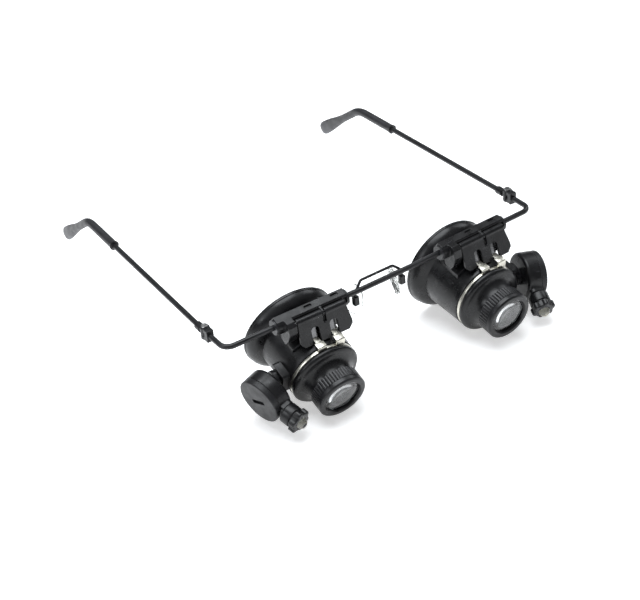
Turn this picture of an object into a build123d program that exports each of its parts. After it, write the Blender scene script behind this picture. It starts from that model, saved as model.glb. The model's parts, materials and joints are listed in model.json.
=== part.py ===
from build123d import *
import math
import os

# Clip-on twin loupe spectacles: a wire spectacle frame that carries two flip-up magnifiers, each with a lamp.
# Millimetres. X runs along the front bar towards the wearer's left, Y backwards over the ears, Z up.
# The origin is the middle of the nose bridge, on the axis of the front bar.

# Driving dimensions: wire frame
half_span = 72.5            # from the bar's middle to each corner
bar_mid_x = 3.0             # the bar's middle, measured from the nose bridge
wire_r = 1.1
bow_start = 12.0            # the bar is straight this far each side of its middle, then swept back
bow_angle = 1.53
corner_r = 4.0
hinge_y = 16.2
hinge_lean = 1.5            # both hinge axes lean towards +X, so folded temples pass over each other
knuckle_r = 1.9
knuckle_h = 1.6
hinge_screw_r = 0.6
temple_in = 1.6             # each temple runs inwards towards the ear by this angle
sleeve_y = 94.8
ear_y, ear_z = 120.0, -1.3
tip_y, tip_z = 154.0, -24.5
sleeve_r = 1.8

# Driving dimensions: nose bridge
bridge_wire_r = 0.55
pad_arm_x = 10.0
pad_box = (2.4, 2.2, 3.6)
pad_box_at = (11.0, 1.9, -5.4)
pad_at = (9.6, 5.4, -7.0)
pad_size = (7.6, 12.5, 1.8)  # width, height, thickness
pad_turn = 37.0             # angle of the pad's face from the frame's length
pad_pin_r = 0.5

# Driving dimensions: one magnifier, in its own axes (X along the bar, Y back along the barrel, Z up, from the bar)
loupe_x = {"right": -35.5, "left": 41.2}     # from the bar's middle; the loupes slide, so they differ
loupe_tilt = {"right": 18.5, "left": 10.4}   # each barrel hangs tipped down from level
drop = 22.56                # the barrel's axis below the bar
bush_half = 15.5
bush_r = 2.3
bush_bore = wire_r + 0.06
clip_bore = bush_r + 0.06
rail_r = 3.3
pin_at = (-3.45, 1.8)       # hinge pin of the lens flap: y, z
pin_r = 0.7
flap_knuckle_r = 1.5
flap_x = (-8.5, 14.6)
flap_top_x = 13.2           # the plate is this wide at its top, and widens downwards
flap_gap = (2.5, 3.9)
flap_slope = 0.5            # the plate leans forwards by this for each millimetre down
flap_thick = 1.3
flap_bottom = -7.4
ear_x = (-12.6, -9.0)
window_x = (-1.6, 6.6)
window_half, window_top = 1.5, 0.3
tab_half = 1.9
leaf_half = 1.25
barrel_r = 14.6
barrel_front = -11.4
cup_start = 6.6
cup_r = 19.9
cup_end = 14.1
wall = 1.3
ring_r = 14.35
ring_y = (-12.9, -11.6)
flange_r = 14.54
flange_front = -15.4
neck_r = 8.7
knurl_r = 10.29
knurl_y = (-27.1, -20.4)
knurl_count = 48
front_lens_r = 8.2
front_window_r = 7.56
rear_lens_r = 12.2
rear_seat = -6.4            # the step in the barrel that the rear lens sits on
screw_x, screw_y = 5.4, 4.2  # saddle screws
saddle_thick = 1.6

# Driving dimensions: one lamp, built outwards from the barrel's side
pivot_at = (-7.0, -22.8)    # arm pivot: y, z
pivot_r = 1.2
bracket_x = (12.5, 17.4)
arm_x = (17.7, 19.3)
arm_r = 4.0
case_at = (24.2, -10.3, -24.9)   # middle of the battery case
case_toe = 16.1             # its flat faces turn forwards
case_cant = 5.3             # and down
lamp_dip = {"right": 0.0, "left": 14.0}      # the lamp tube points this far below level
case_r = 9.75
case_thick = 8.5
lid_thick = 2.6
cell_r, cell_h = 8.0, 1.6
spigot_r = 1.5
tube_reach = 13.3           # lamp tube's end, from the case's centre
collar_reach = 18.2
collar_r = 4.3
lobe_r = 1.25
lobes = 6
bulb_r = 2.4
bulb_tip = 20.6

sides = {"right": -1, "left": 1}
parts = {}


def polygon(*points):
    """A face bounded by straight lines through these points."""
    return make_face(Polyline(*points, close=True))


def wire(points, radii, r):
    """A round wire along straight runs joined by arcs."""
    path = FilletPolyline(*points, radius=radii)
    return sweep(Plane(path @ 0, z_dir=path % 0) * Circle(r), path=path)


def rod(start, end, r):
    """A round bar from one point to another."""
    run = Vector(*end) - Vector(*start)
    return Part() + Solid.make_cylinder(r, run.length, Plane(start, z_dir=run))


def turned(face):
    """Turns a face drawn as (radius, y) about the barrel's axis."""
    return Pos(0, 0, -drop) * revolve(face, Axis.Y)


def tube_y(outer, inner, y0, y1):
    """A plain ring or tube on the barrel's axis."""
    return turned(polygon((inner, y0), (outer, y0), (outer, y1), (inner, y1)))


def slab(x, y, z):
    """A box between two corners, each given as a (low, high) pair per axis."""
    size = [b - a for a, b in (x, y, z)]
    middle = [(a + b) / 2 for a, b in (x, y, z)]
    return Pos(*middle) * Box(*size)


def rod_x(x, y, z, r):
    """A round bar along X between the two x values."""
    return rod((x[0], y, z), (x[1], y, z), r)


def bar_y(x):
    """Where the bar's axis lies at a distance x from its middle."""
    return max(0.0, abs(x) - bow_start) * math.tan(math.radians(bow_angle))


def loupe_frame(side):
    """Places a magnifier's own axes on the bar."""
    x = loupe_x[side]
    at = Pos(bar_mid_x + x, bar_y(x), 0)
    return at * Rot(0, 0, sides[side] * bow_angle) * Rot(loupe_tilt[side], 0, 0)


def case_frame(side):
    """Axes of a battery case in the magnifier's axes: x along the lamp tube, z out through the lid."""
    out = sides[side]
    toe, cant, dip = (math.radians(a) for a in (case_toe, case_cant, lamp_dip[side]))
    lid = Vector(out * math.cos(toe) * math.cos(cant), -math.sin(toe) * math.cos(cant), -math.sin(cant))
    level = Vector(0, 0, 1).cross(lid).normalized() * -out
    up = lid.cross(level).normalized() * out
    up = up if up.Z > 0 else up * -1
    tube = level * math.cos(dip) - up * math.sin(dip)
    middle = (out * case_at[0], case_at[1], case_at[2])
    return Plane(middle, x_dir=tube, z_dir=lid)


def hinge_plane(out):
    """The temple hinge's axis, leaning towards +X."""
    lean = math.radians(hinge_lean)
    return Plane((bar_mid_x + out * half_span, hinge_y, 0), z_dir=(math.sin(lean), 0, math.cos(lean)))


# Wire frame

def front_bar():
    corner_y = bar_y(half_span)
    right = [(-half_span, hinge_y - 2.6, 0), (-half_span, corner_y, 0), (-bow_start, 0, 0)]
    left = [(-x, y, z) for x, y, z in reversed(right)]
    return Pos(bar_mid_x, 0, 0) * wire(right + left, [corner_r, 60, 60, corner_r], wire_r)


def nose_bridge_wire():
    box_x, box_y, box_z = pad_box_at
    half = [(box_x, box_y, box_z + pad_box[2] / 2), (box_x, box_y, -2.2), (pad_arm_x, 1.5, 0.2),
            (pad_arm_x - 2.4, 2.5, 2.3)]
    points = half + [(-x, y, z) for x, y, z in reversed(half)]
    return wire(points, [0.8, 1.2, 1.6, 1.6, 1.2, 0.8], bridge_wire_r)


def pad_frame(out):
    """Axes of a nose pad: x across its width, y up, z out through its face."""
    turn = math.radians(pad_turn)
    face = Vector(out * math.cos(turn), -math.sin(turn), 0.22).normalized()
    across = Vector(0, 0, 1).cross(face).normalized()
    return Plane((out * pad_at[0], pad_at[1], pad_at[2]), x_dir=across, z_dir=face)


def pad_stud(out, r, reach):
    """The pad's metal stud, from inside the pad into the pad box."""
    box = Vector(out * pad_box_at[0], pad_box_at[1], pad_box_at[2])
    pad = pad_frame(out).origin
    run = (box - pad).normalized()
    return rod(tuple(pad + run * 0.4), tuple(pad + run * reach), r)


def nose_pad_boxes():
    solids = []
    for out in (-1, 1):
        block = Pos(out * pad_box_at[0], pad_box_at[1], pad_box_at[2]) * Box(*pad_box)
        block = fillet(block.edges().filter_by(Axis.Z), 0.5)
        solids.append(block - pad_stud(out, pad_pin_r + 0.06, 3.3))
    return solids


def nose_pad(out):
    width, height, thick = pad_size
    blank = extrude(Ellipse(width / 2, height / 2), thick / 2, both=True)
    blank = fillet(blank.edges(), thick / 2 - 0.25)
    return pad_frame(out) * blank + pad_stud(out, pad_pin_r, 3.2)


def front_hinge_lugs():
    solids = []
    for out in (-1, 1):
        plane = hinge_plane(out)
        gap = knuckle_h / 2 + 0.05
        barrel = plane * Pos(0, 0, -gap - knuckle_h) * extrude(Circle(knuckle_r), 2 * (gap + knuckle_h))
        block = plane * slab((-1.5, 1.5), (-3.9, 0), (-gap - knuckle_h, gap + knuckle_h))
        slot = plane * Pos(0, 0, -gap) * extrude(Circle(knuckle_r + 0.4), 2 * gap)
        tail = plane * slab((-3, 3), (0, 4), (-gap, gap))
        bore = plane * Pos(0, 0, -5) * extrude(Circle(hinge_screw_r), 10)
        socket = rod((bar_mid_x + out * half_span, hinge_y - 5, 0), (bar_mid_x + out * half_span, hinge_y - 2.6, 0),
                     wire_r)
        solids.append(barrel + block - slot - tail - bore - socket)
    return solids


def hinge_screws():
    solids = []
    top = knuckle_h * 1.5 + 0.05
    for out in (-1, 1):
        plane = hinge_plane(out)
        shank = plane * Pos(0, 0, -top) * extrude(Circle(hinge_screw_r), 2 * top)
        head = plane * Pos(0, 0, top) * extrude(Circle(1.3), 0.7)
        slot = plane * Pos(0, 0, top + 0.55) * Box(3, 0.35, 0.5)
        solids.append(shank + head - slot)
    return solids


def temple_frame(out):
    """Origin at the hinge, y running back along the temple."""
    return Pos(bar_mid_x + out * half_span, hinge_y, 0) * Rot(0, 0, out * temple_in)


def temple_knuckle(out):
    plane = hinge_plane(out)
    barrel = plane * Pos(0, 0, -knuckle_h / 2) * extrude(Circle(knuckle_r), knuckle_h)
    neck = plane * slab((-1.0, 1.0), (0, 3.4), (-knuckle_h / 2, knuckle_h / 2))
    ferrule = temple_frame(out) * rod((0, 2.6, 0), (0, 6.0, 0), 1.65)
    bore = plane * Pos(0, 0, -2) * extrude(Circle(hinge_screw_r + 0.06), 4)
    return barrel + neck + ferrule - bore - temple_frame(out) * rod((0, 3.6, 0), (0, 8, 0), wire_r)


def temple_wire(out):
    return temple_frame(out) * rod((0, 3.6, 0), (0, ear_y - hinge_y - 8, 0), wire_r)


def ear_sleeve(out):
    start, bend, tip = sleeve_y - hinge_y, ear_y - hinge_y, (tip_y - hinge_y, tip_z)
    slope = Vector(0, tip[0] - bend, tip[1] - ear_z).normalized()
    paddle_start = Vector(0, bend, 0) + slope * 15
    path = FilletPolyline((0, start, 0), (0, bend, 0), tuple(paddle_start), radius=16)
    grip = sweep(Plane(path @ 0, z_dir=path % 0) * Circle(sleeve_r), path=path)
    sections = [(0, sleeve_r, sleeve_r), (9, 1.7, 2.4), (20, 1.5, 3.1), (25.5, 1.1, 2.3)]
    faces = [Plane(tuple(paddle_start + slope * t), x_dir=(1, 0, 0), z_dir=tuple(slope)) * Ellipse(a, b)
             for t, a, b in sections]
    bore = rod((0, start - 1, 0), (0, ear_y - hinge_y - 8, 0), wire_r)
    collar = rod((0, start, 0), (0, start + 1.2, 0), sleeve_r + 0.25)
    return temple_frame(out) * (grip + loft(faces) + collar - bore)


# One magnifier, in its own axes

def slide_bush():
    body = rod_x((-bush_half, bush_half), 0, 0, bush_r)
    ends = [rod_x((s * bush_half, s * (bush_half + 0.7)), 0, 0, bush_r + 0.7) for s in (-1, 1)]
    return body + ends[0] + ends[1] - rod_x((-20, 20), 0, 0, bush_bore)


def barrel_space(extra):
    """The barrel's outside as a solid, a little larger, to cut its neighbours to shape."""
    return Pos(0, 0, -drop) * Rot(90, 0, 0) * Cylinder(barrel_r + extra, 40)


def clip_body():
    x = (-bush_half + 0.05, bush_half - 0.05)
    rail = rod_x(x, 0, 0, rail_r) + slab(x, (-1.2, 2.2), (0, rail_r))
    rail = rail & slab(x, (-3.05, 5), (-5, 5))
    pin_y, pin_z = pin_at
    curl_room = rod_x((flap_x[0] - 0.25, flap_x[1] + 0.25), pin_y, pin_z, flap_knuckle_r + 0.2)
    rail -= curl_room
    ear_outline = polygon((0.9, 3.2), (-3.45, 3.5), (-5.3, 2.5), (-6.3, -0.9), (-5.6, -5.0), (-3.7, -8.2),
                          (-0.7, -7.3), (0.7, -5.0), (0.8, -1.0), (2.4, 2.3))
    ear = Pos(ear_x[0], 0, 0) * extrude(Plane.YZ * ear_outline, ear_x[1] - ear_x[0])
    ear = fillet(ear.edges().filter_by(Axis.X), 0.7)
    lug_x = (flap_gap[0] + 0.2, flap_gap[1] - 0.2)
    lug = rod_x(lug_x, pin_y, pin_z, flap_knuckle_r - 0.2) + slab(lug_x, (pin_y, -1.2), (0.5, 3.1))
    post = slab((-7.2, 13.0), (-2.6, 2.3), (-11.5, -1.4))
    saddle = Pos(0, -0.2, -drop) * Rot(90, 0, 0) * Cylinder(barrel_r + saddle_thick, 12)
    saddle = saddle & slab((-10.5, 10.5), (-12, 12), (-drop + 9.5, 0))
    body = rail + ear + lug + post + saddle - barrel_space(0.02)
    for slot_x in (-0.8, 11.0):
        body -= slab((slot_x - 1.6, slot_x + 1.6), (0.3, 1.3), (2.6, 5))
    body -= saddle_screw_shanks()
    return body - rod_x((-20, 20), 0, 0, clip_bore) - rod_x((ear_x[0] + 0.8, 20), pin_y, pin_z, pin_r)


def flap_pin():
    return rod_x((ear_x[0] + 0.8, flap_x[1] - 1.9), pin_at[0], pin_at[1], pin_r)


def flap_face(z, back=0.0):
    """The y of the flap plate's front face at a height z, or of a plane that lies this far behind it."""
    return pin_at[0] - flap_knuckle_r + flap_slope * (z - pin_at[1]) + back * math.hypot(1, flap_slope)


def lens_flap():
    pin_y, pin_z = pin_at
    left, right = flap_x
    curl = rod_x((left, flap_top_x), pin_y, pin_z, flap_knuckle_r)
    outline = polygon((flap_face(pin_z), pin_z), (flap_face(flap_bottom), flap_bottom),
                      (flap_face(flap_bottom, flap_thick), flap_bottom), (flap_face(0.2, flap_thick), 0.2),
                      (pin_y, pin_z - flap_knuckle_r))
    plate = Pos(left, 0, 0) * extrude(Plane.YZ * outline, right - left)
    width = polygon((left, 5), (left, flap_bottom + 1.4), (left + 1.4, flap_bottom), (right - 1.8, flap_bottom),
                    (right, flap_bottom + 1.8), (right, -4.0), (flap_top_x, pin_z), (flap_top_x, 5))
    plate = plate & Pos(0, 2, 0) * extrude(Plane.XZ * width, 20)
    flap = curl + plate - barrel_space(0.3)
    flap -= slab(flap_gap, (-12, 0), (pin_z - 2.9, 5))
    for middle in window_x:
        hole = slab((middle - window_half, middle + window_half), (-14, 0), (flap_bottom - 5, window_top))
        flap -= fillet(hole.edges().filter_by(Axis.Y).group_by(Axis.Z)[-1], 1.0)
    return flap - rod_x((-20, 20), pin_y, pin_z, pin_r + 0.06)


def flap_spring():
    """Two flat leaves behind the plate's windows, from the lens ring's tabs up to the rail."""
    solids = []
    low, high = flap_bottom + 1.1, -0.9
    near, far = flap_thick + 0.15, flap_thick + 0.5
    outline = polygon((flap_face(low, near), low), (flap_face(high, near), high),
                      (flap_face(high, far), high), (flap_face(low, far), low))
    for middle in window_x:
        solids.append(Pos(middle - leaf_half, 0, 0) * extrude(Plane.YZ * outline, 2 * leaf_half))
    return solids


def lens_holder_ring():
    ring = tube_y(ring_r, 11.4, *ring_y)
    top = flap_bottom + 1.0
    for middle in window_x:
        wide = (middle - tab_half, middle + tab_half)
        ring += slab(wide, ring_y, (-11.4, top))
        ring += slab(wide, (ring_y[0], flap_face(flap_bottom) - 0.25), (top - 0.7, top))
        ring += slab((middle - leaf_half, middle + leaf_half),
                     (ring_y[0], flap_face(flap_bottom + 1.1, flap_thick + 0.5)), (top - 0.7, top))
    return ring


def front_bell():
    outer = Polyline((11.0, ring_y[0]), (flange_r - 0.5, ring_y[0]), (flange_r, ring_y[0] - 0.6),
                     (flange_r, flange_front + 0.9), (flange_r - 0.9, flange_front))
    cove = ThreePointArc((flange_r - 0.9, flange_front), (10.6, -16.9), (9.35, knurl_y[1] + 0.1))
    inner = Polyline((9.35, knurl_y[1] + 0.1), (neck_r, knurl_y[1] + 0.1), (neck_r, -24.0), (neck_r - 1.2, -24.0),
                     (neck_r - 1.2, -20.2), (11.0, -15.2), (11.0, ring_y[0]))
    return turned(make_face(outer + cove + inner))


def knurled_ring():
    front, back = knurl_y
    bore = neck_r + 0.06
    outline = polygon((bore, back), (knurl_r, back), (knurl_r, front + 0.7), (knurl_r - 0.6, front),
                      (front_window_r + 0.5, front), (front_window_r, front + 0.7), (front_window_r, front + 1.0),
                      (front_lens_r, front + 1.0), (front_lens_r, -24.06), (bore, -24.06))
    ring = turned(outline)
    grooves = [Pos(0, 0, -drop) * Rot(0, i * 360 / knurl_count, 0) * rod((knurl_r + 0.12, back - 0.3, 0),
                                                                        (knurl_r + 0.12, front + 2.4, 0), 0.34)
               for i in range(knurl_count)]
    return ring - grooves


def dome(r, bulge, y, out):
    """The ball that gives a lens face its dome, rising by bulge from y towards out."""
    ball = (r * r + bulge * bulge) / (2 * bulge)
    return Pos(0, y + out * (bulge - ball), -drop) * Sphere(ball)


def disc_lens(r, front, back, front_bulge, back_bulge):
    """A lens of this radius; front and back are the y of its rim's edges."""
    lens = rod((0, front - 4, -drop), (0, back + 4, -drop), r)
    if front_bulge:
        lens &= dome(r, front_bulge, front, -1)
    else:
        lens -= slab((-20, 20), (front - 9, front), (-drop - 20, -drop + 20))
    return lens & dome(r, back_bulge, back, 1)


def front_lens():
    return disc_lens(front_lens_r - 0.02, knurl_y[0] + 1.35, knurl_y[0] + 2.9, 1.0, 1.0)


def eyecup_barrel():
    cup = ThreePointArc((barrel_r, cup_start), (18.4, 9.2), (cup_r, cup_end))
    rim = Polyline((cup_r, cup_end), (cup_r - wall, cup_end))
    hollow = ThreePointArc((cup_r - wall, cup_end), (17.1, 9.9), (barrel_r - wall, cup_start))
    bore = Polyline((barrel_r - wall, cup_start), (barrel_r - wall, rear_seat), (11.0, rear_seat), (11.0, -8.0),
                    (13.3, barrel_front), (barrel_r, barrel_front), (barrel_r, cup_start))
    return turned(make_face(cup + rim + hollow + bore)) - saddle_screw_shanks()


def rear_lens():
    return disc_lens(rear_lens_r, rear_seat, rear_seat + 2.0, 0, 1.3)


def rear_lens_ring():
    back = rear_seat + 3.7
    ring = tube_y(barrel_r - wall - 0.02, 11.3, rear_seat + 2.25, back)
    for turn in (0, 180):
        ring -= Pos(0, 0, -drop) * Rot(0, turn, 0) * slab((10.6, 12.9), (back - 0.8, back + 1), (-0.6, 0.6))
    return ring


def saddle_screw_shanks():
    shanks = [rod((x, screw_y, -drop + 11), (x, screw_y, -drop + 17.2), 0.75) for x in (-screw_x, screw_x)]
    return shanks[0] + shanks[1]


def saddle_screws():
    solids = []
    for x in (-screw_x, screw_x):
        foot = -drop + math.sqrt((barrel_r + saddle_thick) ** 2 - x ** 2) + 0.5
        shank = rod((x, screw_y, -drop + 12.4), (x, screw_y, foot), 0.75)
        head = rod((x, screw_y, foot), (x, screw_y, foot + 0.8), 1.25)
        solids.append(shank + head - Pos(x, screw_y, foot + 0.75) * Box(3, 0.4, 0.5))
    return solids


# One lamp

def lamp_bracket(out):
    y, z = pivot_at
    x = sorted((out * bracket_x[0], out * bracket_x[1]))
    block = slab(x, (y - 4.2, y + 4.6), (z - 4.9, z + 4.9))
    block = fillet(block.edges().filter_by(Axis.X), 1.6)
    notch = slab(sorted((out * 15.9, out * 18)), (y + 2.9, y + 6), (z - 2.2, z + 2.2))
    return block - notch - barrel_space(0.02) - rod_x((x[0] - 2, x[1] + 2), y, z, pivot_r)


def arm_pin(out):
    x = sorted((out * 14.7, out * (arm_x[0] + 0.7)))
    return rod_x(x, *pivot_at, pivot_r)


def lamp_arm(side):
    out = sides[side]
    y, z = pivot_at
    x = sorted((out * arm_x[0], out * arm_x[1]))
    case = case_frame(side)
    pad = case * Pos(0, 0, -case_thick / 2 - 1.75) * extrude(Circle(3.5), 1.65)
    boss = rod_x(x, y, z, arm_r)
    web = slab(sorted((out * arm_x[0], out * (arm_x[0] + 1.3))), (y - 3.4, y), (z - 4.6, z + 1.4))
    arm = boss + web + pad
    arm -= rod_x((x[0] - 2, x[1] + 2), y, z, pivot_r + 0.06)
    return arm - case * Pos(0, 0, -case_thick / 2 - 4) * extrude(Circle(spigot_r + 0.06), 4)


def case_shell():
    """The battery case without its lid, in the case's own axes; the lamp tube runs along x."""
    depth = case_thick - lid_thick
    low = -case_thick / 2
    shell = Pos(0, 0, low) * extrude(Circle(case_r), depth)
    shell = fillet(shell.edges().group_by(Axis.Z)[0], 1.2)
    neck = Pos(8.0, 0, 0) * Rot(0, 90, 0) * extrude(RectangleRounded(7.2, 7.6, 1.8), 2.8)
    tube = rod((8.0, 0, 0), (tube_reach, 0, 0), 3.3)
    shell += neck & slab((7.9, 11), (-5, 5), (low + 0.2, low + depth))
    shell += tube & slab((7.9, 14), (-5, 5), (low + 0.2, 5))
    shell -= Pos(0, 0, low + 1.2) * extrude(Circle(case_r - 1.2), depth)
    shell -= rod((8.0, 0, 0), (tube_reach + 1, 0, 0), bulb_r)
    shell -= slab((-11, -case_r + 0.7), (-1.5, 1.5), (low + 3.6, 3))
    spigot = Pos(0, 0, low - 1.7) * extrude(Circle(spigot_r), 2.2)
    lid_room = Pos(0, 0, low + depth) * extrude(Circle(case_r + 0.1), 5)
    return shell + spigot - lid_room


def case_lid():
    base = case_thick / 2 - lid_thick
    lid = Pos(0, 0, base + 0.06) * extrude(Circle(case_r), lid_thick - 0.06)
    lid = fillet(lid.edges().group_by(Axis.Z)[-1], 0.5)
    lid += Pos(0, 0, base - 1.0) * extrude(Circle(case_r - 1.26), 1.1)
    slot = Pos(0, 0, case_thick / 2) * Rot(0, 0, 35) * Box(7.0, 1.7, 2.2)
    return lid - slot


def coin_cells():
    base = case_thick / 2 - lid_thick - 1.05 - 2 * cell_h
    return [Pos(0, 0, base + i * cell_h) * fillet(extrude(Circle(cell_r), cell_h - 0.02).edges(), 0.3)
            for i in range(2)]


def contact_spring():
    low = -case_thick / 2 + 1.2
    coil = Pos(0, 0, low + 0.22) * Torus(3.0, 0.2) + Pos(0, 0, low + 0.02) * extrude(Circle(2.0), 0.35)
    return coil + slab((1.2, 3.1), (-0.4, 0.4), (low + 0.1, low + 0.35))


def switch_collar():
    start = tube_reach - 2.4
    collar = rod((start, 0, 0), (collar_reach, 0, 0), collar_r)
    for i in range(lobes):
        turn = Rot(i * 360 / lobes, 0, 0)
        collar += turn * rod((start, collar_r - 0.55, 0), (collar_reach, collar_r - 0.55, 0), lobe_r)
    collar = collar - rod((start - 1, 0, 0), (tube_reach + 0.1, 0, 0), 3.36)
    return collar - rod((start, 0, 0), (collar_reach + 1, 0, 0), bulb_r + 0.15)


def bulb():
    shank = rod((10.0, 0, 0), (bulb_tip - bulb_r, 0, 0), bulb_r - 0.02)
    dome = Pos(bulb_tip - bulb_r, 0, 0) * Sphere(bulb_r - 0.02)
    return shank + dome


# Every node of the object, each in the frame's axes

def add(name, made):
    parts[name] = Compound(children=list(made)) if isinstance(made, list) else made


add("front_bar", front_bar())
add("nose_bridge_wire", nose_bridge_wire())
add("nose_pad_boxes", nose_pad_boxes())
add("front_hinge_lugs", front_hinge_lugs())
add("hinge_screws", hinge_screws())

magnifier = {"slide_bush": slide_bush(), "clip_body": clip_body(), "flap_pin": flap_pin(),
             "lens_flap": lens_flap(), "flap_spring": flap_spring(), "lens_holder_ring": lens_holder_ring(),
             "front_bell": front_bell(), "knurled_ring": knurled_ring(), "front_lens": front_lens(),
             "eyecup_barrel": eyecup_barrel(), "rear_lens": rear_lens(), "rear_lens_ring": rear_lens_ring(),
             "saddle_screws": saddle_screws()}
lamp = {"battery_case": case_shell(), "battery_lid": case_lid(), "coin_cells": coin_cells(),
        "contact_spring": contact_spring(), "switch_collar": switch_collar(), "led_bulb": bulb()}

for side, out in sides.items():
    add("nose_pad_" + side, nose_pad(out))
    add("temple_knuckle_" + side, temple_knuckle(out))
    add("temple_wire_" + side, temple_wire(out))
    add("ear_sleeve_" + side, ear_sleeve(out))
    place = loupe_frame(side)
    own = {"lamp_bracket": lamp_bracket(out), "arm_pin": arm_pin(out), "lamp_arm": lamp_arm(side)}
    for name, made in {**magnifier, **own}.items():
        add(name + "_" + side, [place * m for m in made] if isinstance(made, list) else place * made)
    for name, made in lamp.items():
        stand = place * case_frame(side).location
        add(name + "_" + side, [stand * m for m in made] if isinstance(made, list) else stand * made)

os.makedirs("parts", exist_ok=True)
for name, shape in parts.items():
    export_step(shape, os.path.join("parts", name + ".step"))
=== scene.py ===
"""Twin-loupe spectacles: the looks of a wire frame with two flip-up magnifiers, each with its own lamp."""
import json
import math

import bmesh
import bpy
from mathutils import Matrix, Vector


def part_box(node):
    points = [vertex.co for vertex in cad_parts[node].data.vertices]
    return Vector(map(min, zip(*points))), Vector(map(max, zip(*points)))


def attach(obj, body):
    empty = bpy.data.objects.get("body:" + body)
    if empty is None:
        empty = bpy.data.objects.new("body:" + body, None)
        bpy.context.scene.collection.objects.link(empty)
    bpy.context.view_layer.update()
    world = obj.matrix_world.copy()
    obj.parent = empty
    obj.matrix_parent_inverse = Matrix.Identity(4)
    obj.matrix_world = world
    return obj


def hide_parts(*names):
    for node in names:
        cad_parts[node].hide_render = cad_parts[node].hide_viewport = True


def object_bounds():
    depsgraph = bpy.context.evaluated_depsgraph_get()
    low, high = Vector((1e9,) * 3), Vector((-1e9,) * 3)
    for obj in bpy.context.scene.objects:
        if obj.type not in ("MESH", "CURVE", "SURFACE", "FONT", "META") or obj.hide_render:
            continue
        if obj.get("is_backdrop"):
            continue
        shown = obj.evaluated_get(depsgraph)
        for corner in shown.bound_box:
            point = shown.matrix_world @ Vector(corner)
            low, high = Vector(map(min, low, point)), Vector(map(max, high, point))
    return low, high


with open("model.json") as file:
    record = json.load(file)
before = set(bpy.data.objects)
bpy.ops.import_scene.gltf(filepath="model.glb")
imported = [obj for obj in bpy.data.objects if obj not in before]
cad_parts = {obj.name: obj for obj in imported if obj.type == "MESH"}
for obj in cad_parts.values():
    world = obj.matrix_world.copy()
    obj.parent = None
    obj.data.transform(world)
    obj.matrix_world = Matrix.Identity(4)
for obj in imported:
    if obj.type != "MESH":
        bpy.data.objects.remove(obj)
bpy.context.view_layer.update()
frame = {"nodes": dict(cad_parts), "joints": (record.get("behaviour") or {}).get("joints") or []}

MM = 0.001
SIDES = {"right": -1, "left": 1}
joints = {j["name"]: j for j in frame["joints"]}

# Sizes in millimetres. A magnifier's own axes start at the bar: X along it, Y back along the barrel, Z up.
WIRE_R = 1.1
CORNER_R = 4.0
BOW_START = 12.0
BARREL_R, BARREL_FRONT = 14.6, -11.4
CUP_START, CUP_R, CUP_END = 6.6, 19.9, 14.1
WALL = 1.3
REAR_SEAT, REAR_LENS_R = -6.4, 12.2
SEAT_R = 11.0               # the step in the barrel, and the bell's mouth
RING_BORE = 11.4
BELL_END = -24.0
BRIDGE_R = 0.55
ROUND = 144                 # steps round the large turned pieces
RING_R, RING_FRONT, RING_BACK = 14.35, -12.9, -11.6
FLANGE_R, FLANGE_FRONT = 14.54, -15.4
NECK_R, KNURL_R, KNURL_BACK = 8.7, 10.29, -20.4
KNURL_COUNT = 48
LENS_R, WINDOW_R = 8.2, 7.56
PIN_Y, PIN_Z, KNUCKLE_R = -3.45, 1.8, 1.5
FLAP_SLOPE, FLAP_BOTTOM, FLAP_THICK = 0.5, -7.4, 1.3
WINDOWS = (-1.6, 6.6)
TAB_HALF, LEAF_HALF = 1.9, 1.25
TEMPLE_IN = 1.6
TEMPLE_START, SLEEVE_OVERLAP = 3.6, 8
SLEEVE_START, EAR_BEND, SLEEVE_R = 94.8, 120.0, 1.8
EAR_BEND_R, EAR_REACH = 16, 40.5
TIP = (154.0, -24.5)
TUBE_REACH, COLLAR_REACH, COLLAR_R, LOBES = 13.3, 18.2, 4.3, 6
BULB_R, BULB_TIP = 2.4, 20.6


# Places

def axes(origin, x, y):
    """A place with its own axes that takes millimetres and gives metres."""
    x = Vector(x).normalized()
    y = (Vector(y) - x * x.dot(Vector(y))).normalized()
    place = Matrix((x, y, x.cross(y))).transposed().to_4x4()
    place.translation = origin
    return place @ Matrix.Scale(MM, 4)


def joint_at(name):
    return Vector(joints[name]["pos_m"])


def joint_axis(name):
    return Vector(joints[name]["axis"])


row = Matrix.Scale(MM, 4)
magnifier = {s: axes(joint_at(f"magnifier_{s}_tilt"), -joint_axis(f"magnifier_{s}_tilt"),
                     -joint_axis(f"lens_ring_{s}_turn")) for s in SIDES}
barrel = {}
for side in SIDES:
    ring_front = magnifier[side].inverted() @ joint_at(f"lens_ring_{side}_turn")
    barrel[side] = magnifier[side] @ Matrix.Translation((0, 0, ring_front.z))
    KNURL_FRONT, DROP = ring_front.y, -ring_front.z
lamp = {s: axes(joint_at(f"lamp_{s}_turn"), joint_axis(f"switch_{s}_twist"),
                joint_axis(f"lamp_{s}_turn").cross(joint_axis(f"switch_{s}_twist"))) for s in SIDES}
hinge = {s: joint_at(f"temple_{s}_fold") / MM for s in SIDES}
temple = {s: row @ Matrix.Translation(hinge[s]) @ Matrix.Rotation(SIDES[s] * math.radians(TEMPLE_IN), 4, "Z")
          for s in SIDES}
tube_axis = Matrix.Rotation(math.radians(-90), 4, "Z")   # lays a turned mesh along X


# Mesh tools

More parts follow.
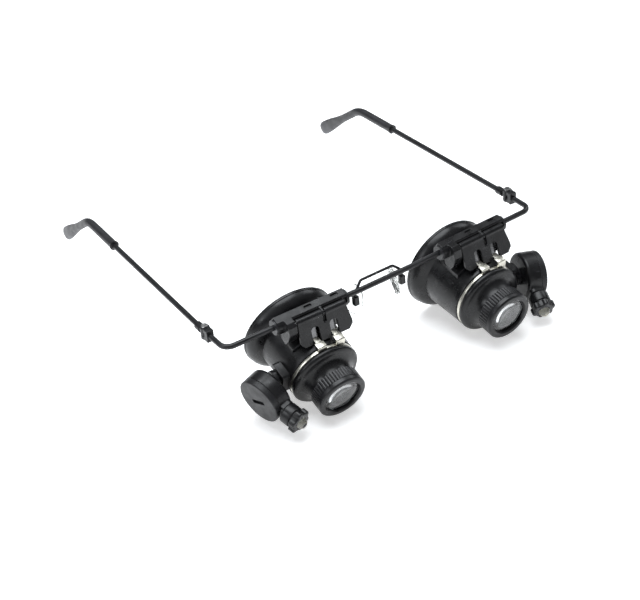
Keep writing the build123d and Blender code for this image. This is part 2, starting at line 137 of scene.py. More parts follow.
def rounded(points, radii, steps=5, closed=True):
    """Points in two or three dimensions, with their corners replaced by arcs."""
    points = [Vector(p) for p in points]
    count = len(points)
    radii = list(radii) if hasattr(radii, "__len__") else [radii] * count
    out = []
    for i, p in enumerate(points):
        if radii[i] <= 0 or (not closed and i in (0, count - 1)):
            out.append(p)
            continue
        a, b = points[i - 1] - p, points[(i + 1) % count] - p
        turn = math.pi - a.angle(b)
        if turn < 0.01:
            out.append(p)
            continue
        reach = min(radii[i] * math.tan(turn / 2), 0.49 * a.length, 0.49 * b.length)
        start, end = p + a.normalized() * reach, p + b.normalized() * reach
        radius = reach / math.tan(turn / 2)
        middle = p + (a.normalized() + b.normalized()).normalized() * radius / math.cos(turn / 2)
        count_here = max(2, math.ceil(steps * turn / (math.pi / 2)))
        for k in range(count_here + 1):
            t = k / count_here
            spoke = (start - middle) * math.sin((1 - t) * turn) + (end - middle) * math.sin(t * turn)
            out.append(middle + spoke / math.sin(turn))
    return out


def lathe(profile, steps=96, closed=True, shape=None):
    """A turned mesh about Y. The profile's points are (radius, y); shape may vary a radius with its angle."""
    bm = bmesh.new()
    rings = []
    for r, y in profile:
        if r < 1e-4:
            rings.append([bm.verts.new((0, y, 0))])
            continue
        ring = []
        for i in range(steps):
            angle = 2 * math.pi * i / steps
            here = shape(r, y, angle) if shape else r
            ring.append(bm.verts.new((here * math.cos(angle), y, here * math.sin(angle))))
        rings.append(ring)
    pairs = list(zip(rings, rings[1:])) + ([(rings[-1], rings[0])] if closed else [])
    for a, b in pairs:
        for i in range(steps):
            j = (i + 1) % steps
            corners = [a[i % len(a)], a[j % len(a)], b[j % len(b)], b[i % len(b)]]
            corners = list(dict.fromkeys(corners))
            if len(corners) > 2:
                bm.faces.new(corners)
    return bm


def sweep(points, size, steps=24, side=(0, 0, 1)):
    """A tube along the points. size gives its two half widths for a share of the way along."""
    points = [Vector(p) for p in points]
    lengths = [0.0]
    for a, b in zip(points, points[1:]):
        lengths.append(lengths[-1] + (b - a).length)
    bm = bmesh.new()
    rings = []
    across = Vector(side)
    for i, p in enumerate(points):
        ahead = (points[min(i + 1, len(points) - 1)] - points[max(i - 1, 0)]).normalized()
        across = (across - ahead * across.dot(ahead)).normalized()
        other = ahead.cross(across)
        a, b = size(lengths[i] / lengths[-1])
        ring = []
        for k in range(steps):
            angle = 2 * math.pi * k / steps
            ring.append(bm.verts.new(p + across * a * math.cos(angle) + other * b * math.sin(angle)))
        rings.append(ring)
    for a, b in zip(rings, rings[1:]):
        for k in range(steps):
            n = (k + 1) % steps
            bm.faces.new((a[k], a[n], b[n], b[k]))
    for ring in (rings[0], rings[-1]):
        bm.faces.new(ring)
    return bm


def prism(outline, low, high, edge=0.25, segments=2):
    """A plate along X between low and high; its outline is (y, z) points and its edges are rounded."""
    bm = bmesh.new()
    face = bm.faces.new([bm.verts.new((low, y, z)) for y, z in outline])
    raised = bmesh.ops.extrude_face_region(bm, geom=[face])
    moved = [v for v in raised["geom"] if isinstance(v, bmesh.types.BMVert)]
    bmesh.ops.translate(bm, vec=(high - low, 0, 0), verts=moved)
    if edge:
        rim = [e for e in bm.edges if abs(e.verts[0].co.x - e.verts[1].co.x) < 1e-6]
        bmesh.ops.bevel(bm, geom=rim, offset=edge, segments=segments, profile=0.5, affect="EDGES")
    return bm


def joined(*parts):
    """Several meshes in one; each may be a mesh, or a mesh and where it goes."""
    whole = bmesh.new()
    for part in parts:
        bm, place = part if isinstance(part, tuple) else (part, Matrix.Identity(4))
        scratch = bpy.data.meshes.new("scratch")
        bm.to_mesh(scratch)
        bm.free()
        scratch.transform(place)
        whole.from_mesh(scratch)
        bpy.data.meshes.remove(scratch)
    return whole


def finish_mesh(mesh, crease):
    for face in mesh.polygons:
        face.use_smooth = True
    mesh.set_sharp_from_angle(angle=math.radians(crease))


def piece(name, bm, place, body, paint, stands_for=(), crease=38):
    """Puts a mesh in the scene as one piece that rides on a body."""
    stands_for = [stands_for] if isinstance(stands_for, str) else list(stands_for)
    bmesh.ops.recalc_face_normals(bm, faces=bm.faces)
    mesh = bpy.data.meshes.new(name)
    bm.to_mesh(mesh)
    bm.free()
    mesh.transform(place)
    finish_mesh(mesh, crease)
    mesh.materials.append(paint)
    made = bpy.data.objects.new(name, mesh)
    bpy.context.scene.collection.objects.link(made)
    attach(made, body)
    if stands_for:
        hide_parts(*stands_for)
    return made


def softened(name, node, place, body, paint, grain=0.2, smooth=4, keep=0.4, extra=None, cut=None,
             fit=1.0):
    """A copy of a moulded node with its edges rounded, remeshed along the axes of its place.
    extra is a mesh that is melted in, cut is one that is taken away, and fit scales it across its Z axis."""
    mesh = frame["nodes"][node].data.copy()
    mesh.name = name
    mesh.transform(place.inverted())
    if extra:
        both = bmesh.new()
        both.from_mesh(mesh)
        bpy.data.meshes.remove(mesh)
        mesh = bpy.data.meshes.new(name)
        joined(both, extra).to_mesh(mesh)
    mesh.materials.clear()
    made = bpy.data.objects.new(name, mesh)
    bpy.context.scene.collection.objects.link(made)
    cutter = None
    if cut:
        first = made.modifiers.new("melt", "REMESH")
        first.mode = "VOXEL"
        first.voxel_size = grain
        tool = bpy.data.meshes.new("cutter")
        cut.to_mesh(tool)
        cutter = bpy.data.objects.new("cutter", tool)
        bpy.context.scene.collection.objects.link(cutter)
        carve = made.modifiers.new("carve", "BOOLEAN")
        carve.operation = "DIFFERENCE"
        carve.object = cutter
    remesh = made.modifiers.new("remesh", "REMESH")
    remesh.mode = "VOXEL"
    remesh.voxel_size = grain
    relax = made.modifiers.new("relax", "SMOOTH")
    relax.factor = 0.5
    relax.iterations = smooth
    thin = made.modifiers.new("thin", "DECIMATE")
    thin.ratio = keep
    bpy.context.view_layer.update()
    graph = bpy.context.evaluated_depsgraph_get()
    final = bpy.data.meshes.new_from_object(made.evaluated_get(graph))
    made.modifiers.clear()
    made.data = final
    bpy.data.meshes.remove(mesh)
    if cutter:
        bpy.data.objects.remove(cutter)
    final.name = name
    final.transform(place @ Matrix.Diagonal((fit, fit, 1, 1)))
    finish_mesh(final, 60)
    final.materials.clear()
    final.materials.append(paint)
    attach(made, body)
    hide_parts(node)
    return made


# Materials

class Paint:
    """A procedural material. Its nodes are added and linked by short calls."""

    def __init__(self, name, **fixed):
        self.material = bpy.data.materials.new(name)
        self.material.use_nodes = True
        self.tree = self.material.node_tree
        self.shader = self.tree.nodes["Principled BSDF"]
        self.coords = self.node("ShaderNodeTexCoord").outputs["Object"]
        self.surface = self.node("ShaderNodeNewGeometry")
        for socket, value in fixed.items():
            self.shader.inputs[socket.replace("_", " ")].default_value = value

    def node(self, kind, **settings):
        made = self.tree.nodes.new(kind)
        for key, value in settings.items():
            setattr(made, key, value)
        return made

    def feed(self, socket, value):
        if isinstance(value, bpy.types.NodeSocket):
            self.tree.links.new(value, socket)
        else:
            socket.default_value = value

    def place(self, stretch):
        """The object's coordinates, stretched."""
        made = self.node("ShaderNodeMapping")
        self.feed(made.inputs["Vector"], self.coords)
        made.inputs["Scale"].default_value = stretch
        return made.outputs["Vector"]

    def noise(self, size_mm, detail=4.0, roughness=0.55, stretch=None, distortion=0.0):
        """Noise whose features are about this size."""
        made = self.node("ShaderNodeTexNoise")
        self.feed(made.inputs["Vector"], self.place(stretch) if stretch else self.coords)
        made.inputs["Scale"].default_value = 1 / (size_mm * MM)
        made.inputs["Detail"].default_value = detail
        made.inputs["Roughness"].default_value = roughness
        made.inputs["Distortion"].default_value = distortion
        return made.outputs["Fac"]

    def specks(self, size_mm):
        """The distance to the nearest of a cloud of points."""
        made = self.node("ShaderNodeTexVoronoi")
        self.feed(made.inputs["Vector"], self.coords)
        made.inputs["Scale"].default_value = 1 / (size_mm * MM)
        return made.outputs["Distance"]

    def band(self, value, low, high, to_low=0.0, to_high=1.0):
        """Maps low..high onto to_low..to_high, and holds it there."""
        made = self.node("ShaderNodeMapRange")
        made.interpolation_type = "SMOOTHSTEP"
        self.feed(made.inputs["Value"], value)
        for socket, number in zip(("From Min", "From Max", "To Min", "To Max"), (low, high, to_low, to_high)):
            made.inputs[socket].default_value = number
        return made.outputs["Result"]

    def math(self, operation, a, b):
        made = self.node("ShaderNodeMath", operation=operation)
        self.feed(made.inputs[0], a)
        self.feed(made.inputs[1], b)
        return made.outputs["Value"]

    def mix(self, share, a, b):
        """A colour between a and b."""
        made = self.node("ShaderNodeMix", data_type="RGBA")
        self.feed(made.inputs["Factor"], share)
        self.feed(made.inputs[6], a)
        self.feed(made.inputs[7], b)
        return made.outputs[2]

    def edges(self, low=0.52, high=0.6):
        """1 on worn outer edges and corners."""
        worn = self.band(self.surface.outputs["Pointiness"], low, high)
        return self.math("MULTIPLY", worn, self.band(self.noise(1.6, 5.0, 0.7), 0.35, 0.62))

    def along(self, axis):
        made = self.node("ShaderNodeSeparateXYZ")
        self.feed(made.inputs["Vector"], self.coords)
        return made.outputs[axis]

    def colour(self, value):
        self.feed(self.shader.inputs["Base Color"], value)

    def rough(self, value):
        self.feed(self.shader.inputs["Roughness"], value)

    def bumps(self, *layers):
        """Each layer is (height, strength, height in millimetres)."""
        normal = None
        for height, strength, depth_mm in layers:
            made = self.node("ShaderNodeBump")
            made.inputs["Strength"].default_value = strength
            made.inputs["Distance"].default_value = depth_mm * MM
            self.feed(made.inputs["Height"], height)
            if normal:
                self.feed(made.inputs["Normal"], normal)
            normal = made.outputs["Normal"]
        self.feed(self.shader.inputs["Normal"], normal)


def grey(value, blue=1.12):
    """A grey, very slightly cool."""
    return (value, value, value * blue, 1)


def moulded(name, dark, light, worn, rough_low, rough_high, grain=0.06):
    """Moulded plastic: a fine spark-eroded grain, flow marks, dust, and paler worn edges."""
    p = Paint(name, IOR=1.5, Specular_IOR_Level=0.34)
    flow = p.noise(7.0, 3.0, 0.5, distortion=0.6)
    base = p.mix(p.band(flow, 0.3, 0.7), grey(dark), grey(light))
    dust = p.math("MULTIPLY", p.band(p.specks(1.1), 0.10, 0.04), p.band(p.noise(9.0), 0.5, 0.7))
    base = p.mix(p.math("MULTIPLY", dust, 0.3), base, grey(0.16, 0.98))
    p.colour(p.mix(p.math("MULTIPLY", p.edges(), 0.6), base, grey(worn)))
    smudge = p.noise(4.5, 6.0, 0.62)
    p.rough(p.band(smudge, 0.32, 0.68, rough_low, rough_high))
    p.bumps((p.noise(grain * 2.5, 3.0, 0.6), 0.3, 0.012), (p.noise(2.6, 2.0, 0.5), 0.10, 0.02))
    return p.material


def painted_wire():
    """Satin black paint on wire, with a faint orange peel and bare bright scuffs."""
    p = Paint("satin_black_wire", IOR=1.5, Specular_IOR_Level=0.4)
    scuff = p.math("MULTIPLY", p.band(p.noise(0.7, 6.0, 0.7), 0.66, 0.74), p.band(p.noise(14.0), 0.52, 0.66))
    base = p.mix(p.band(p.noise(11.0, 3.0), 0.3, 0.7), grey(0.008), grey(0.016))
    p.colour(p.mix(p.math("MULTIPLY", scuff, 0.7), base, grey(0.14, 0.96)))
    p.rough(p.band(p.noise(5.0, 5.0), 0.3, 0.7, 0.27, 0.42))
    p.bumps((p.noise(0.45, 2.0), 0.18, 0.01))
    return p.material


def ear_plastic():
    """Soft dark grey ear ends, with a painted sheen that makes them paler towards their tips."""
    p = Paint("ear_end_plastic", IOR=1.48)
    low_z, high_z = (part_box("ear_sleeve_right")[i].z for i in (0, 1))
    # Painted sheen: the colour gets lighter towards the lower ends of the ear pieces, standing in for light
    # falling on them.
    painted_tip_sheen = p.band(p.along("Z"), high_z - 0.6 * (high_z - low_z), low_z)
    base = p.mix(p.band(p.noise(6.0, 4.0), 0.3, 0.7), grey(0.016), grey(0.026))
    p.colour(p.mix(p.math("MULTIPLY", painted_tip_sheen, 0.75), base, grey(0.10)))
    p.rough(p.band(p.noise(3.0, 5.0), 0.3, 0.7, 0.36, 0.52))
    p.bumps((p.noise(0.12, 2.0), 0.15, 0.008))
    return p.material


def nickel(name="bright_nickel", tint=(0.72, 0.70, 0.62, 1), rough_low=0.24, rough_high=0.40):
    """Nickel plate on stamped sheet: drawn lines, faint stains and scratches."""
    p = Paint(name, Metallic=1.0)
    stain = p.band(p.noise(3.5, 5.0, 0.6), 0.35, 0.7)
    p.colour(p.mix(stain, tint, tuple(c * 0.82 for c in tint[:3]) + (1,)))
    lines = p.noise(0.9, 4.0, 0.6, stretch=(1, 9, 9))
    p.rough(p.band(lines, 0.3, 0.7, rough_low, rough_high))
    p.bumps((lines, 0.06, 0.004), (p.noise(0.3, 2.0), 0.04, 0.003))
    return p.material


def steel():
    p = Paint("screw_steel", Metallic=1.0)
    p.colour(p.mix(p.band(p.noise(1.2, 5.0), 0.35, 0.65), (0.58, 0.58, 0.57, 1), (0.36, 0.36, 0.37, 1)))
    p.rough(p.band(p.noise(0.5, 4.0), 0.3, 0.7, 0.24, 0.42))
    p.bumps((p.noise(0.3, 3.0), 0.15, 0.006))
    return p.material


def lens_glass():
    """Polished lens glass with a few specks of dust."""
    p = Paint("lens_glass", IOR=1.62, Transmission_Weight=1.0)
    dust = p.band(p.specks(1.3), 0.05, 0.02)
    p.colour(p.mix(p.band(p.noise(5.0), 0.4, 0.6), (0.77, 0.79, 0.80, 1), (0.73, 0.75, 0.76, 1)))
    smear = p.band(p.noise(2.0, 6.0, 0.7), 0.62, 0.75, 0, 0.1)
    p.rough(p.math("MULTIPLY", p.math("MAXIMUM", dust, smear), 0.3))
    p.bumps((p.noise(6.0, 2.0), 0.02, 0.01))
    return p.material


def clear_soft():
    """Clear silicone of the nose pads, a little cloudy."""
    p = Paint("clear_silicone", IOR=1.41, Transmission_Weight=0.96)
    p.colour(p.mix(p.band(p.noise(2.4, 4.0), 0.35, 0.65), (0.96, 0.97, 0.95, 1), (0.90, 0.92, 0.90, 1)))
    p.rough(p.band(p.noise(1.5, 5.0), 0.35, 0.65, 0.06, 0.2))
    p.bumps((p.noise(0.9, 3.0), 0.10, 0.02))
    return p.material


def led_epoxy():
    p = Paint("led_epoxy", IOR=1.53, Transmission_Weight=1.0)
    p.colour(p.mix(p.band(p.noise(1.5, 3.0), 0.35, 0.65), (0.98, 0.99, 1.0, 1), (0.95, 0.97, 1.0, 1)))
    p.rough(p.band(p.noise(0.8, 5.0), 0.45, 0.75, 0.04, 0.16))
    p.bumps((p.noise(1.2, 2.0), 0.05, 0.01))
    return p.material


def phosphor():
    p = Paint("led_phosphor", IOR=1.4)
    p.colour(p.mix(p.noise(0.25, 3.0), (0.80, 0.70, 0.12, 1), (0.92, 0.84, 0.30, 1)))
    p.rough(p.band(p.noise(0.2), 0.3, 0.7, 0.45, 0.7))
    p.bumps((p.noise(0.1, 2.0), 0.3, 0.01))
    return p.material


black = moulded("black_plastic", 0.005, 0.010, 0.05, 0.24, 0.40)
black_inside = moulded("black_inside", 0.006, 0.010, 0.04, 0.5, 0.65)
charcoal = moulded("charcoal_plastic", 0.006, 0.011, 0.06, 0.25, 0.42)
lid_grey = moulded("lid_plastic", 0.012, 0.019, 0.07, 0.34, 0.50)
# The leaves' steel is made dark as painted shade: it stands in for the shade inside the flap's windows.
spring_steel = nickel("spring_steel", (0.20, 0.20, 0.205, 1), 0.22, 0.38)
wire_black = painted_wire()
ear_grey = ear_plastic()
bright = nickel()
cell_steel = nickel("cell_steel", (0.66, 0.66, 0.67, 1), 0.28, 0.42)
screw_steel = steel()
glass = lens_glass()
silicone = clear_soft()
epoxy = led_epoxy()
glow = phosphor()


# Wire frame

def tube(r):
    return lambda share: (r, r)


def front_wire():
    """The bent bar with both corners turned back to the hinges."""
    left, right = hinge["left"], hinge["right"]
    middle, half = (left.x + right.x) / 2, (left.x - right.x) / 2
    slope = joint_axis("magnifier_left_slide")
    corner_y = (half - BOW_START) * slope.y / slope.x
    end_y = left.y - 2.6
    one = [(-half, end_y, 0), (-half, corner_y, 0), (-BOW_START, 0, 0)]
    points = [(middle + x, y, z) for x, y, z in one] + [(middle - x, y, z) for x, y, z in reversed(one)]
    path = rounded(points, [0, CORNER_R, 60, 60, CORNER_R, 0], 14, closed=False)
    piece("front_bar_wire", sweep(path, tube(WIRE_R), 28), row, "frame", wire_black, "front_bar")


def bridge_wire():
    """The thin wire behind the bar that ends in the two pad boxes."""
    half = [(11.0, 1.9, -3.6), (11.0, 1.9, -2.2), (10.0, 1.5, 0.2), (7.6, 2.5, 2.3)]
    points = half + [(-x, y, z) for x, y, z in reversed(half)]
    path = rounded(points, [0, 0.8, 1.2, 1.6, 1.6, 1.2, 0.8, 0], 8, closed=False)
    piece("bridge_wire", sweep(path, tube(BRIDGE_R), 16, (0, 1, 0)), row, "frame", wire_black,
          "nose_bridge_wire")


def temple_side(side):
    """The straight wire of one temple and its flattened plastic ear end."""
    hinge_y = hinge[side].y
    body = f"temple_{side}"
    wire = sweep([(0, TEMPLE_START, 0), (0, EAR_BEND - hinge_y - SLEEVE_OVERLAP, 0)], tube(WIRE_R), 28)
    piece(f"temple_rod_{side}", wire, temple[side], body, wire_black, f"temple_wire_{side}")
    start, bend = SLEEVE_START - hinge_y, EAR_BEND - hinge_y
    slope = Vector((0, TIP[0] - EAR_BEND, TIP[1] + 1.3)).normalized()
    corner = Vector((0, bend, 0))
    ends = [(0, start, 0), corner, corner + slope * EAR_REACH]
    path = rounded(ends, [0, EAR_BEND_R, 0], 16, closed=False)
    straight = [path[0].lerp(path[1], k / 12) for k in range(12)]
    fine = [path[-2].lerp(path[-1], k / 40) for k in range(1, 41)]
    path = straight + path[1:-1] + fine
    total = sum((b - a).length for a, b in zip(path, path[1:]))

    def size(share):
        """Round along the wire, then a flattened paddle with a rounded tip."""
        before = share * total
        left_over = total - before
        grow = min(1.0, max(0.0, (20 - (left_over - 5.5)) / 20))
        ease = grow * grow * (3 - 2 * grow)
        a, b = SLEEVE_R - 0.3 * ease, SLEEVE_R + 1.3 * ease
        end = min(1.0, left_over / 4.0)
        cap = math.sqrt(max(0.02, 1 - (1 - end) ** 2))
        collar = 0.25 if before < 1.2 else 0.0
        return (a + collar) * cap, (b + collar) * (0.35 + 0.65 * cap) * min(1, cap * 2)

    sleeve = sweep(path, size, 32, (1, 0, 0))
    piece(f"ear_end_{side}", sleeve, temple[side], body, ear_grey, f"ear_sleeve_{side}")


# Magnifiers

def bend(a, b, c, steps=12):
    """A smooth run of points from a to c that passes through b."""
    a, b, c = Vector(a), Vector(b), Vector(c)
    pull = 2 * b - (a + c) / 2
    shares = [k / steps for k in range(steps + 1)]
    return [a * (1 - t) ** 2 + pull * 2 * t * (1 - t) + c * t * t for t in shares]


def dome(r, y, bulge, out, steps=14):
    """Points (radius, y) over a domed lens face, from its rim to its middle."""
    ball = (r * r + bulge * bulge) / (2 * bulge)
    return [(at, y + out * (math.sqrt(ball * ball - at * at) - ball + bulge))
            for at in (r * math.cos(math.pi / 2 * k / steps) if k < steps else 0.0 for k in range(steps + 1))]


def cup_and_barrel(side):
    """The tube with its trumpet-shaped eyecup, a rolled lip and fine ridges in its bore."""
    inner = BARREL_R - WALL
    lip = CUP_R - 0.22
    outside = bend((BARREL_R, CUP_START), (18.4, 9.2), (lip, CUP_END - 1.5))
    rim = rounded([(lip, CUP_END - 1.5), (CUP_R, CUP_END - 1.3), (CUP_R, CUP_END), (CUP_R - WALL, CUP_END),
                   (CUP_R - WALL - 0.15, CUP_END - 1.0)], [0, 0.15, 0.5, 0.45, 0], 4, closed=False)
    hollow = bend((CUP_R - WALL - 0.15, CUP_END - 1.0), (17.1, 9.9), (inner, CUP_START))
    ridges = []
    y = CUP_START - 0.6
    while y > REAR_SEAT + 4.6:
        ridges += [(inner, y), (inner - 0.16, y - 0.3)]
        y -= 0.6
    seat = [(inner, REAR_SEAT + 3.9), (inner, REAR_SEAT), (SEAT_R, REAR_SEAT), (SEAT_R, -8.0),
            (inner, BARREL_FRONT)]
    front = rounded([(inner, BARREL_FRONT), (BARREL_R, BARREL_FRONT), (BARREL_R, BARREL_FRONT + 2)],
                    [0, 0.3, 0], 4, closed=False)
    profile = outside[1:] + rim[1:] + hollow[1:] + ridges + seat + front[1:]
    piece(f"eyecup_{side}", lathe(profile, ROUND), barrel[side], f"magnifier_{side}", black,
          f"eyecup_barrel_{side}")


def bell(side):
    """The flange and waisted neck in front of the barrel."""
    waist = bend((FLANGE_R - 0.9, FLANGE_FRONT), (10.6, -16.9), (9.35, KNURL_BACK + 0.1))
    flange = rounded([(SEAT_R, RING_FRONT), (FLANGE_R - 0.5, RING_FRONT), (FLANGE_R, RING_FRONT - 0.6),
                      (FLANGE_R, FLANGE_FRONT + 0.9), (FLANGE_R - 0.9, FLANGE_FRONT)],
                     [0, 0.7, 0.7, 0.9, 0], 5, closed=False)
    neck = [(NECK_R, KNURL_BACK + 0.1), (NECK_R, BELL_END), (NECK_R - 1.2, BELL_END), (NECK_R - 1.2, -20.2),
            (SEAT_R, -15.2)]
    profile = flange + waist[1:] + neck
    piece(f"bell_{side}", lathe(profile, ROUND), barrel[side], f"front_cell_{side}", black,
          f"front_bell_{side}")


def knurled(side):
    """The ring that holds the front lens, ribbed for the fingers."""
    bore = NECK_R + 0.06
    ribs_end = KNURL_FRONT + 2.3

    def ribs(r, y, angle):
        if r < KNURL_R - 0.3 or y < ribs_end:
            return r
        valley = 0.5 - 0.5 * math.cos(KNURL_COUNT * angle)
        return r - 0.2 * valley ** 3 * min(1, (y - ribs_end) / 0.3)

    groove_r = KNURL_R - 0.14
    outside = [(KNURL_R, KNURL_BACK - 0.05), (KNURL_R, -22.5), (KNURL_R, ribs_end + 0.3), (KNURL_R, ribs_end),
               (groove_r, ribs_end - 0.05), (groove_r, ribs_end - 0.25), (KNURL_R, ribs_end - 0.3)]
    seat = KNURL_FRONT + 1.0
    nose = rounded([(KNURL_R, ribs_end - 0.3), (KNURL_R, KNURL_FRONT + 0.5), (KNURL_R - 0.6, KNURL_FRONT),
                    (WINDOW_R + 0.5, KNURL_FRONT), (WINDOW_R, KNURL_FRONT + 0.7), (WINDOW_R, seat)],
                   [0, 0.4, 0.3, 0.25, 0.2, 0], 4, closed=False)
    inside = [(LENS_R, seat), (LENS_R, BELL_END - 0.06), (bore, BELL_END - 0.06), (bore, KNURL_BACK),
              (KNURL_R - 0.25, KNURL_BACK)]
    piece(f"knurls_{side}", lathe(outside + nose[1:] + inside, KNURL_COUNT * 10, shape=ribs), barrel[side],
          f"lens_ring_{side}", black, f"knurled_ring_{side}", crease=30)


def lenses(side):
    r = LENS_R - 0.02
    front = dome(r, KNURL_FRONT + 1.35, 1.0, -1)
    back = dome(r, KNURL_FRONT + 2.9, 1.0, 1)
    piece(f"front_glass_{side}", lathe(front[::-1] + back, 96, closed=False), barrel[side],
          f"lens_ring_{side}", glass, f"front_lens_{side}")
    r = REAR_LENS_R
    back = dome(r, REAR_SEAT + 2.0, 1.3, 1)
    flat = [(0, REAR_SEAT), (r * 0.5, REAR_SEAT), (r, REAR_SEAT)]
    piece(f"rear_glass_{side}", lathe(flat + back, 96, closed=False), barrel[side], f"magnifier_{side}",
          glass, f"rear_lens_{side}")


def flap_face(z, back=0.0):
    """The y of the flap plate's front face at a height z, or of a plane this far behind it."""
    return PIN_Y - KNUCKLE_R + FLAP_SLOPE * (z - PIN_Z) + back * math.hypot(1, FLAP_SLOPE)


def ring_with_tabs(side):
    """The bright ring between barrel and bell, with two bent tabs that reach the flap's windows."""
    ring = lathe(rounded([(RING_BORE, RING_FRONT), (RING_R, RING_FRONT), (RING_R, RING_BACK),
                          (RING_BORE, RING_BACK)], 0.18, 3), ROUND)
    bmesh.ops.translate(ring, vec=(0, 0, -DROP), verts=ring.verts)
    top = FLAP_BOTTOM + 1.0
    end = flap_face(FLAP_BOTTOM) - 0.25
    back, foot = RING_FRONT + 0.9, -10.2
    tab = rounded([(RING_FRONT, foot), (RING_FRONT, top), (end, top), (end, top - 0.7), (back, top - 0.7),
                   (back, foot)], [0, 0.6, 0.15, 0.15, 0.3, 0], 4)
    parts = [ring]
    for x in WINDOWS:
        parts.append(prism(tab, x - TAB_HALF, x + TAB_HALF, 0.12))
        reach = flap_face(FLAP_BOTTOM + 1.1, FLAP_THICK + 0.5)
        tongue = [(end - 0.3, top - 0.08), (reach, top - 0.08), (reach, top - 0.66), (end - 0.3, top - 0.66)]
        parts.append(prism(tongue, x - LEAF_HALF, x + LEAF_HALF, 0.08))
    piece(f"ring_and_tabs_{side}", joined(*parts), magnifier[side], f"front_cell_{side}", bright,
          f"lens_holder_ring_{side}", crease=30)


def leaves(side):
    """The two spring leaves behind the windows, leaning back a little at the top."""
    low, high = FLAP_BOTTOM + 1.1, -2.2
    front, back = [], []
    for k in range(9):
        z = low + (high - low) * k / 8
        lean = 0.2 * (k / 8) ** 2
        front.append((flap_face(z, FLAP_THICK + 0.18) + lean, z))
        back.append((flap_face(z, FLAP_THICK + 0.46) + lean, z))
    parts = [prism(front + back[::-1], x - LEAF_HALF, x + LEAF_HALF, 0.06) for x in WINDOWS]
    # The dark steel of the leaves is painted shade for the windows.
    piece(f"leaves_{side}", joined(*parts), magnifier[side], f"front_cell_{side}", spring_steel,
          f"flap_spring_{side}", crease=30)


def flap(side):
    """The hinged plate, with its two open windows rounded at the top."""
    fillers, cutters = [], []
    for x in WINDOWS:
        high, low = 0.5, -2.0
        block = [(flap_face(high), high), (flap_face(low), low), (flap_face(low, FLAP_THICK), low),
                 (flap_face(high, FLAP_THICK), high)]
        fillers.append(prism(block, x - 1.7, x + 1.7, 0))
        top, half = -1.1, 1.75
        turns = [math.pi * k / 12 for k in range(13)]
        outline = [(x - half, -12), (x + half, -12)]
        outline += [(x + half * math.cos(t), top - half * 0.8 * (1 - math.sin(t))) for t in turns]
        cutter = bmesh.new()
        face = cutter.faces.new([cutter.verts.new((px, -14, pz)) for px, pz in outline])
        raised = bmesh.ops.extrude_face_region(cutter, geom=[face])
        bmesh.ops.translate(cutter, vec=(0, 14, 0),
                            verts=[v for v in raised["geom"] if isinstance(v, bmesh.types.BMVert)])
        bmesh.ops.recalc_face_normals(cutter, faces=cutter.faces)
        cutters.append(cutter)
    softened(f"flap_soft_{side}", f"lens_flap_{side}", magnifier[side], f"front_cell_{side}", black, 0.13,
             extra=joined(*fillers), cut=joined(*cutters))


# Lamps

def led(side):
    """A clear bulb with its small reflector cup and yellow phosphor inside."""
    r = BULB_R - 0.02
    start = BULB_TIP - BULB_R
    cap = [(r * math.cos(t), start + r * math.sin(t)) for t in (math.pi / 2 * k / 12 for k in range(12))]
    shell = lathe([(0, 10.0), (r - 0.2, 10.0), (r, 10.2)] + cap + [(0, start + r)], 48, closed=False)
    place = lamp[side] @ tube_axis
    piece(f"bulb_{side}", shell, place, f"lamp_{side}", epoxy, f"led_bulb_{side}")
    cup = lathe([(0, 14.2), (0.7, 14.2), (2.1, 17.9), (1.95, 18.0), (0.8, 15.6), (0, 15.4)], 40, closed=False)
    piece(f"reflector_{side}", cup, place, f"lamp_{side}", bright)
    chip = lathe([(0, 15.42), (0.74, 15.42), (1.05, 15.95), (0.6, 16.12), (0, 16.2)], 32, closed=False)
    piece(f"phosphor_{side}", chip, place, f"lamp_{side}", glow)


def switch_ring(side):
    """The lamp's twist switch: a plain sleeve, a groove, and a ring of rounded lobes round the bulb."""
    lobe_at, lobe_r = COLLAR_R - 0.55, 1.25
    groove = TUBE_REACH + 1.5

    def lobes(r, x, angle):
        if r < lobe_at - 0.2 or x < groove + 0.5:
            return r
        off = (angle + math.pi / LOBES) % (2 * math.pi / LOBES) - math.pi / LOBES
        across = lobe_r ** 2 - (lobe_at * math.sin(off)) ** 2
        out = lobe_at * math.cos(off) + math.sqrt(across) if across > 0 else 0
        return max(r - 0.15, out * r / COLLAR_R if out else 0)

    start = TUBE_REACH - 2.4
    back_bore, front_bore, groove_r = 3.36, BULB_R + 0.15, 3.75
    outside = rounded([(back_bore, start), (COLLAR_R, start), (COLLAR_R, groove), (groove_r, groove + 0.1),
                       (groove_r, groove + 0.5), (COLLAR_R, groove + 0.7), (COLLAR_R, COLLAR_REACH),
                       (front_bore, COLLAR_REACH)], [0, 0.4, 0.3, 0.1, 0.1, 0.2, 0.5, 0.1], 4, closed=False)
    inside = [(front_bore, TUBE_REACH + 0.1), (back_bore, TUBE_REACH + 0.1)]
    piece(f"switch_ring_{side}", lathe(outside + inside, 120, shape=lobes), lamp[side] @ tube_axis,
          f"switch_{side}", charcoal, f"switch_collar_{side}", crease=40)


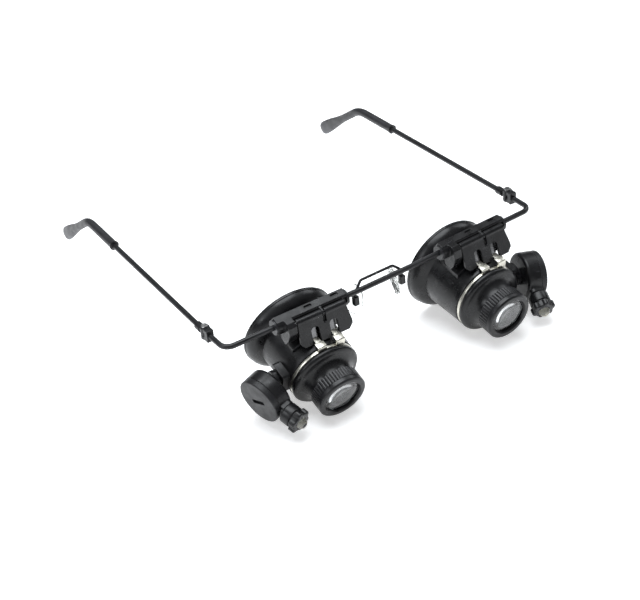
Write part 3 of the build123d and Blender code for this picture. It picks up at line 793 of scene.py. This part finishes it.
front_wire()
bridge_wire()
softened("pad_boxes_soft", "nose_pad_boxes", row, "frame", black, 0.1)
softened("hinge_lugs_soft", "front_hinge_lugs", row, "frame", wire_black, 0.1, 3)
for side in SIDES:
    temple_side(side)
    softened(f"pad_soft_{side}", f"nose_pad_{side}", row, f"nose_pad_{side}", silicone, 0.12)
    softened(f"knuckle_soft_{side}", f"temple_knuckle_{side}", row, f"temple_{side}", wire_black, 0.09, 3)
    cup_and_barrel(side)
    bell(side)
    knurled(side)
    lenses(side)
    ring_with_tabs(side)
    leaves(side)
    led(side)
    own = f"magnifier_{side}"
    softened(f"clip_soft_{side}", f"clip_body_{side}", magnifier[side], own, black, 0.15)
    flap(side)
    softened(f"bracket_soft_{side}", f"lamp_bracket_{side}", magnifier[side], own, charcoal, 0.13)
    softened(f"arm_soft_{side}", f"lamp_arm_{side}", magnifier[side], f"lamp_arm_{side}", charcoal, 0.12)
    softened(f"case_soft_{side}", f"battery_case_{side}", lamp[side], f"lamp_{side}", charcoal, 0.15)
    softened(f"lid_soft_{side}", f"battery_lid_{side}", lamp[side], f"lid_{side}", lid_grey, 0.11, 3, 0.5,
             fit=0.993)
    switch_ring(side)

SIMPLE = {"hinge_screws": screw_steel}
SIDE_SIMPLE = {"slide_bush": black, "flap_pin": screw_steel, "rear_lens_ring": black_inside,
               "saddle_screws": screw_steel, "arm_pin": screw_steel, "coin_cells": cell_steel,
               "contact_spring": bright}


def dress(node, paint):
    target = frame["nodes"][node]
    target.data.materials.clear()
    target.data.materials.append(paint)


for node, paint in SIMPLE.items():
    dress(node, paint)
for side in SIDES:
    for node, paint in SIDE_SIMPLE.items():
        dress(f"{node}_{side}", paint)


# Stage

def sky(world):
    """A dim studio: almost dark at the horizon, paler overhead."""
    tree = world.node_tree
    coords = tree.nodes.new("ShaderNodeTexCoord")
    split = tree.nodes.new("ShaderNodeSeparateXYZ")
    ramp = tree.nodes.new("ShaderNodeMapRange")
    tree.links.new(coords.outputs["Generated"], split.inputs["Vector"])
    tree.links.new(split.outputs["Z"], ramp.inputs["Value"])
    for socket, number in zip(("From Min", "From Max", "To Min", "To Max"), (0.05, 0.9, 0.04, 0.35)):
        ramp.inputs[socket].default_value = number
    tree.links.new(ramp.outputs["Result"], tree.nodes["Background"].inputs["Strength"])
    tree.nodes["Background"].inputs["Color"].default_value = (0.97, 0.985, 1.0, 1)


def stage():
    low, high = (Vector(corner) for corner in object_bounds())
    ground = low.z - 0.0004
    bpy.ops.mesh.primitive_plane_add(size=6, location=(0, 0, ground))
    floor = bpy.context.object
    floor.name = "floor"
    p = Paint("pale_floor", Emission_Color=(1, 1, 1, 1), Emission_Strength=0.5)
    p.colour(p.mix(p.noise(60.0, 3.0), (0.88, 0.88, 0.88, 1), (0.90, 0.90, 0.90, 1)))
    p.rough(p.band(p.noise(30.0), 0.3, 0.7, 0.7, 0.8))
    floor.data.materials.append(p.material)
    floor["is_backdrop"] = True
    world = bpy.data.worlds.new("studio")
    world.use_nodes = True
    sky(world)
    bpy.context.scene.world = world
    softbox("top_light", (0.0, 0.15, 0.95), 0.9, 11.0)
    softbox("left_light", (-0.75, 0.05, 0.45), 0.35, 1.6)
    softbox("right_light", (0.75, 0.15, 0.5), 0.4, 1.4)


def softbox(name, at, size, watts):
    data = bpy.data.lights.new(name, "AREA")
    data.shape = "DISK"
    data.size = size
    data.energy = watts
    data.color = (0.93, 0.965, 1.0)
    lamp_object = bpy.data.objects.new(name, data)
    lamp_object.location = at
    aim = Vector((0, 0, -0.02)) - Vector(at)
    lamp_object.rotation_euler = aim.to_track_quat("-Z", "Y").to_euler()
    bpy.context.scene.collection.objects.link(lamp_object)


def camera():
    """Looks from the wearer's front right and above, with a slight roll."""
    azimuth, elevation, roll = math.radians(-29.56), math.radians(34.29), math.radians(-6.96)
    level = Vector((math.cos(azimuth), math.sin(azimuth), 0))
    ahead_flat = Vector((-math.sin(azimuth), math.cos(azimuth), 0))
    rise = ahead_flat * math.sin(elevation) + Vector((0, 0, math.cos(elevation)))
    ahead = ahead_flat * math.cos(elevation) - Vector((0, 0, math.sin(elevation)))
    right = level * math.cos(roll) + rise * math.sin(roll)
    up = rise * math.cos(roll) - level * math.sin(roll)
    data = bpy.data.cameras.new("camera")
    data.lens = 93.557
    data.sensor_width = 36.0
    data.sensor_fit = "HORIZONTAL"
    eye = bpy.data.objects.new("camera", data)
    place = Matrix((right, up, -ahead)).transposed().to_4x4()
    place.translation = Vector((-284.2, -452.1, 358.1)) * MM
    eye.matrix_world = place
    bpy.context.scene.collection.objects.link(eye)
    bpy.context.scene.camera = eye


camera()
stage()
bpy.context.scene.view_settings.view_transform = "Standard"
